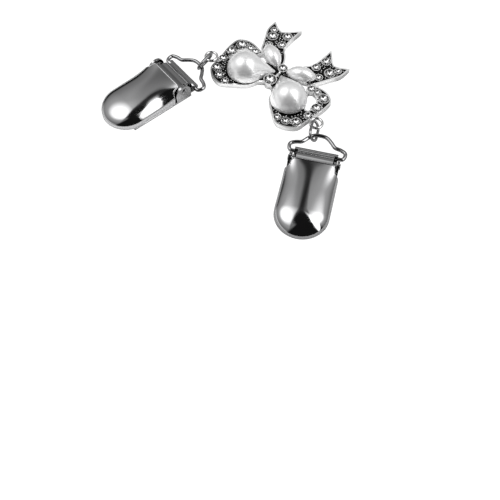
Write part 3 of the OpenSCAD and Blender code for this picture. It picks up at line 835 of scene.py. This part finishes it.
half, rise, lift = BAIL_SIZE
one = [Vector((x * half, y * rise, y * lift)) for x, y in BAIL_HALF]
other = [Vector((-p.x, p.y, p.z)) for p in reversed(one[:-1])]
bar = [Vector((-half * x, 0, 0)) for x in BAR_POINTS]
bail_path = smooth_path(one + other + bar, BEND_STEPS)
length, width = RING_SIZE
ring_r = (width - RING_WIRE) / 2
run = (length - width) / 2
ring_path = []
for sign in (1, -1):
    for i in range(RING_STEPS + 1):
        t = math.radians(-90 + 180 * i / RING_STEPS)
        x, y = run + ring_r * math.cos(t), ring_r * math.sin(t)
        ring_path.append(Vector((sign * x, sign * y, 0)))
for side in ("left", "right"):
    place = clip_place(side) @ Matrix.Translation((0, BAR_Y * MM, BAR_Z * MM))
    bail = bent_wire(f"{side}_bail_wire", bail_path, BAIL_WIRE, place)
    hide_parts(f"{side}_bail")
    low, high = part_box(f"{side}_jump_ring")
    pointing, tipped = (math.radians(angle) for angle in RINGS[side])
    turn = Matrix.Rotation(pointing, 4, "Z") @ Matrix.Rotation(tipped, 4, "X")
    place = Matrix.Translation((low + high) / 2) @ turn
    link = bent_wire(f"{side}_oval_ring", ring_path, RING_WIRE, place)
    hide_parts(f"{side}_jump_ring")


# Clip plates: strip steel with a dark mirror nickel. The sheet is folded into a roll
# for the bail, doubled back as the spring leaf, and its ears stand up beside it.
DARK_NICKEL = (0.41, 0.41, 0.415)
PLATE_EDGE = 0.14
PLATE_SHARP = 30

dark_nickel, *_ = polished(
    "dark_nickel", DARK_NICKEL, grain_size=0.6, smoothest=0.035, roughest=0.09,
    grain_depth=0.0015, worn=0.06)
for side in ("left", "right"):
    bm = cad_copy(f"{side}_clip_plate")
    edge_angles(bm, PLATE_SHARP)
    plate = new_piece(f"{side}_folded_plate", bm)
    plate.data.materials.append(dark_nickel)
    eased(plate, PLATE_EDGE, PLATE_SHARP)
    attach(plate, f"{side}_clip")
    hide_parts(f"{side}_clip_plate")


# Covers: one deep-drawn shell of the same nickel-plated steel, with a round end, cut
# away beside the ears, its free edge hemmed. Two tabs bent down behind its lip turn on
# the rivets. All sizes are in the clip's own frame.
COVER_HALF = 10.0
LIP_Y = -3.0
ARC_Y = -22.4
END_Y = -32.4
SKIRT = 1.4
# The dome: its height, its fall to the end, the part of the height that is upright wall,
# the round part of its crown, and how it flattens across over a run behind the lip.
CREST = 7.5
CREST_FALL = 2.3
WALL_SHARE = 0.22
CROWNED = 0.8
LIP_FLATNESS = 6
LIP_RUN = 11
# The mesh: points from rim to middle and how they crowd to the rim, rows from the round
# end to the lip, steps round the end.
PLAN_STEPS, PLAN_CROWDING = 24, 1.9
PLAN_ROWS, PLAN_TURNS = 18, 44
ON_LINE = 0.001
COVER_MERGE = 0.01
SHEET = 0.6
# The hem: its thickness, the least step between two points of its path, rounds of easing.
HEM = 0.80
HEM_STEP, HEM_CLOSE = 0.35, 0.3
HEM_EASING = 2
# The notch beside an ear, from the lip outwards, and the part of the shell it can reach.
NOTCH = [(7.9, 0.5), (7.9, -5.0), (8.05, -5.6), (8.7, -6.3), (11.0, -7.0)]
NOTCH_X, NOTCH_Y = 6.5, -9
# The tabs: inner and outer face, the pivot's y and z, the eye's radius, and the arm.
TAB_X = (7.3, 8.1)
PIVOT = (-1.2, 4.5)
TAB_R = 1.45
ARM_IN = 0.02
TAB_ARM = [
    (PIVOT[0], PIVOT[1] - TAB_R + ARM_IN), (-6.2, 3.45), (-6.2, 6.4), (LIP_Y, 6.9),
    (PIVOT[0], PIVOT[1] + TAB_R - ARM_IN),
]
TAB_EDGE = 0.1
TAB_SHARP = 40
TAB_TURNS = 48


def cover_height(x, y):
    """Height of the skin: crowned along its length, flatter across near the lip."""
    from_middle = abs(x) if y > ARC_Y else math.hypot(x, y - ARC_Y)
    share = min(1, from_middle / COVER_HALF)
    crest = CREST - CREST_FALL * ((LIP_Y - y) / (LIP_Y - END_Y)) ** 2
    near_lip = max(0, (y - LIP_Y + LIP_RUN) / LIP_RUN) ** 2
    rise = CROWNED * (1 - share ** 2) ** 0.5 + (1 - CROWNED) * (1 - share ** 4) ** 0.25
    rise += near_lip * ((1 - share ** LIP_FLATNESS) ** (1 / LIP_FLATNESS) - rise)
    return SKIRT + (crest - SKIRT) * (WALL_SHARE + (1 - WALL_SHARE) * rise)


def free_across(bm, y):
    """The free edges that run straight across the shell at one place."""
    return [
        e for e in bm.edges
        if e.is_boundary and all(abs(v.co.y - y * MM) < ON_LINE * MM for v in e.verts)
    ]


def cover_shell(bm):
    """A flat plan, spun round the end and run straight to the lip, is raised into the
    dome, and its edge is drawn down as the wall."""
    spread = [1 - (i / PLAN_STEPS) ** PLAN_CROWDING for i in range(PLAN_STEPS + 1)]
    line = [bm.verts.new((COVER_HALF * share * MM, ARC_Y * MM, 0)) for share in spread]
    edges = [bm.edges.new(pair) for pair in zip(line, line[1:])]
    bmesh.ops.spin(
        bm, geom=line + edges, cent=(0, ARC_Y * MM, 0), axis=(0, 0, -1),
        dvec=(0, 0, 0), angle=math.pi, steps=PLAN_TURNS)
    bmesh.ops.remove_doubles(bm, verts=bm.verts, dist=ON_LINE * MM)
    front = free_across(bm, ARC_Y)
    for _ in range(PLAN_ROWS):
        grown = bmesh.ops.extrude_edge_only(bm, edges=front)["geom"]
        front = only(bmesh.types.BMEdge, grown)
        bmesh.ops.translate(
            bm, verts=only(bmesh.types.BMVert, grown),
            vec=(0, (LIP_Y - ARC_Y) / PLAN_ROWS * MM, 0))
    lip = set(free_across(bm, LIP_Y))
    rim = [e for e in bm.edges if e.is_boundary and e not in lip]
    for vert in bm.verts:
        vert.co.z = cover_height(vert.co.x / MM, vert.co.y / MM) * MM
    wall = bmesh.ops.extrude_edge_only(bm, edges=rim)["geom"]
    for vert in only(bmesh.types.BMVert, wall):
        vert.co.z = SKIRT * MM


def cut_notches(bm):
    """Trims the shell along each notch line and drops what lies outside it."""
    for sign in (-1, 1):
        line = [Vector((sign * x, y, 0)) * MM for x, y in NOTCH]
        for a, b in zip(line, line[1:]):
            near = []
            for face in bm.faces:
                at = face.calc_center_median()
                if sign * at.x > NOTCH_X * MM and at.y > NOTCH_Y * MM:
                    near.append(face)
            verts = dict.fromkeys(v for f in near for v in f.verts)
            edges = dict.fromkeys(e for f in near for e in f.edges)
            way = (b - a).normalized()
            bmesh.ops.bisect_plane(
                bm, geom=[*verts, *edges, *near], plane_co=a,
                plane_no=Vector((-way.y, way.x, 0)))
        cut = []
        for face in bm.faces:
            at = face.calc_center_median() / MM
            x, y = sign * at.x, at.y
            if y < NOTCH[-1][1] or x < NOTCH[0][0]:
                continue
            for a, b in zip(NOTCH, NOTCH[1:]):
                if b[1] <= y <= a[1]:
                    if x > a[0] + (b[0] - a[0]) * (a[1] - y) / (a[1] - b[1]):
                        cut.append(face)
                    break
        bmesh.ops.delete(bm, geom=cut, context="FACES")


def hem_path(bm):
    """The shell's free edge in order, moved in to the middle of the sheet and eased."""
    bm.normal_update()
    edge = next(e for e in bm.edges if e.is_boundary)
    first = vert = edge.verts[0]
    path = []
    while True:
        path.append(vert.co / MM - vert.normal * SHEET / 2)
        vert = edge.other_vert(vert)
        edge = next(e for e in vert.link_edges if e.is_boundary and e != edge)
        if vert == first:
            break
    kept = path[:1]
    for point in path[1:]:
        if (point - kept[-1]).length > HEM_STEP and (point - kept[0]).length > HEM_CLOSE:
            kept.append(point)
    n = len(kept)
    for _ in range(HEM_EASING):
        kept = [(kept[i - 1] + 2 * kept[i] + kept[(i + 1) % n]) / 4 for i in range(n)]
    return kept


def hinge_tab(bm, sign):
    """An eye and the arm that carries it, both cut from one thickness of sheet."""
    inner, outer = sorted((sign * TAB_X[0], sign * TAB_X[1]))
    eye = bmesh.ops.create_circle(
        bm, cap_ends=True, segments=TAB_TURNS, radius=TAB_R * MM)["verts"]
    stand = Matrix.Translation((inner * MM, PIVOT[0] * MM, PIVOT[1] * MM))
    stand = stand @ Matrix.Rotation(math.pi / 2, 4, "Y")
    bmesh.ops.transform(bm, matrix=stand, verts=eye)
    arm = [bm.verts.new((inner * MM, y * MM, z * MM)) for y, z in TAB_ARM]
    faces = [eye[0].link_faces[0], bm.faces.new(arm)]
    grown = bmesh.ops.extrude_face_region(bm, geom=faces)["geom"]
    bmesh.ops.translate(
        bm, verts=only(bmesh.types.BMVert, grown), vec=((outer - inner) * MM, 0, 0))


for side in ("left", "right"):
    bm = bmesh.new()
    cover_shell(bm)
    cut_notches(bm)
    bmesh.ops.remove_doubles(bm, verts=bm.verts, dist=COVER_MERGE * MM)
    bmesh.ops.recalc_face_normals(bm, faces=bm.faces)
    if sum(f.normal.z for f in bm.faces) < 0:
        bmesh.ops.reverse_faces(bm, faces=bm.faces)
    edge_line = hem_path(bm)
    bmesh.ops.transform(bm, matrix=clip_place(side), verts=bm.verts)
    smooth_faces(bm)
    for edge in bm.edges:
        edge.smooth = not edge.is_boundary
    cover = new_piece(f"{side}_domed_cover", bm)
    cover.data.materials.append(dark_nickel)
    wall = cover.modifiers.new("sheet", "SOLIDIFY")
    wall.thickness = SHEET * MM
    wall.offset = -1
    wall.use_even_offset = True
    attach(cover, f"{side}_cover")
    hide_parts(f"{side}_clip_cover")

    bm = bmesh.new()
    closed_wire(bm, edge_line, HEM)
    bmesh.ops.transform(bm, matrix=clip_place(side), verts=bm.verts)
    smooth_faces(bm)
    hem = new_piece(f"{side}_cover_hem", bm)
    hem.data.materials.append(dark_nickel)
    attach(hem, f"{side}_cover")

    bm = bmesh.new()
    hinge_tab(bm, -1)
    hinge_tab(bm, 1)
    bmesh.ops.recalc_face_normals(bm, faces=bm.faces)
    bmesh.ops.transform(bm, matrix=clip_place(side), verts=bm.verts)
    edge_angles(bm, TAB_SHARP)
    tabs = new_piece(f"{side}_hinge_tabs", bm)
    tabs.data.materials.append(dark_nickel)
    eased(tabs, TAB_EDGE, TAB_SHARP)
    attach(tabs, f"{side}_cover")


# Rivets: short silver-plated pins through the ears, each head spun over with a hollow
# in it.
PIN_R = 0.75
PIN_IN = 7.15
EAR_OUT = 9.45
RIVET_TURNS = 40
RIVET_SHARP = 50
# The outline: radius, and distance out from the clip's middle.
RIVET = [
    (0, PIN_IN), (0.62, PIN_IN), (PIN_R, PIN_IN + 0.13), (PIN_R, EAR_OUT),
    (1.02, EAR_OUT), (1.15, EAR_OUT + 0.1), (1.12, EAR_OUT + 0.24), (0.95, EAR_OUT + 0.36),
    (0.75, EAR_OUT + 0.40), (0.55, EAR_OUT + 0.33), (0.38, EAR_OUT + 0.12),
    (0, EAR_OUT + 0.08),
]

axle = Vector((0, *PIVOT)) * MM
for side in ("left", "right"):
    for number, sign in ((1, 1), (2, -1)):
        bm = bmesh.new()
        line = [bm.verts.new(axle + Vector((sign * x, 0, r)) * MM) for r, x in RIVET]
        edges = [bm.edges.new(pair) for pair in zip(line, line[1:])]
        bmesh.ops.spin(
            bm, geom=line + edges, cent=axle, axis=(1, 0, 0), dvec=(0, 0, 0),
            angle=2 * math.pi, steps=RIVET_TURNS, use_merge=True)
        bmesh.ops.remove_doubles(bm, verts=bm.verts, dist=ON_LINE * MM)
        bmesh.ops.recalc_face_normals(bm, faces=bm.faces)
        bmesh.ops.transform(bm, matrix=clip_place(side), verts=bm.verts)
        edge_angles(bm, RIVET_SHARP)
        rivet = new_piece(f"{side}_rivet_{number}", bm)
        rivet.data.materials.append(wire_silver)
        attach(rivet, f"{side}_clip")
        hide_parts(f"{side}_clip_pin_{number}")
